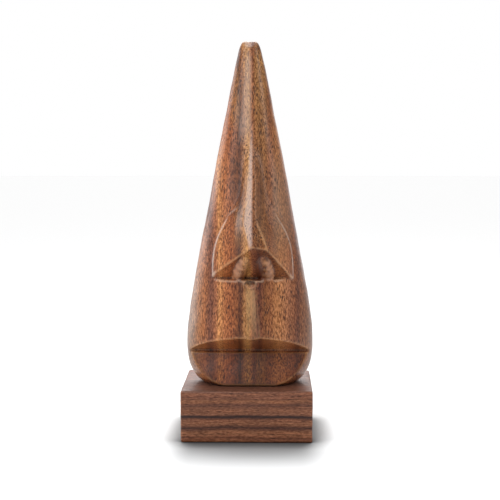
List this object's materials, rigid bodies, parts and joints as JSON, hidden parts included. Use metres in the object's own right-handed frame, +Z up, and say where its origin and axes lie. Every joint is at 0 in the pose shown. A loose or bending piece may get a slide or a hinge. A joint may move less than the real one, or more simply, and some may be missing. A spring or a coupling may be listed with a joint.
{
  "type": "eyeglasses display stand",
  "caption": "Carved wooden stand for one pair of eyeglasses: a tapering head with a ridged nose, overhanging lip and flat chin on a rectangular block.",
  "frame": {"origin": "centre of the block's underside", "axes": "-Y to the front, where the nose points, +X to the right seen from the front, +Z up through the tip of the head"},
  "size_m": [0.0547, 0.0504, 0.1644],
  "materials": {
    "sheesham_head": "hand carved Indian rosewood, oiled and waxed to a satin sheen, upright grain",
    "sheesham_base": "sawn and sanded Indian rosewood, thinly oiled, grain left to right",
    "dried_glue": "dried wood glue, dark amber, dull",
    "screw_steel": "zinc plated steel, slightly dulled"
  },
  "bodies": {
    "root": {"base_block": "sheesham_base", "carved_head": "sheesham_head", "glue_film": "dried_glue", "screw_left": "screw_steel", "screw_right": "screw_steel"}
  },
  "joints": []
}
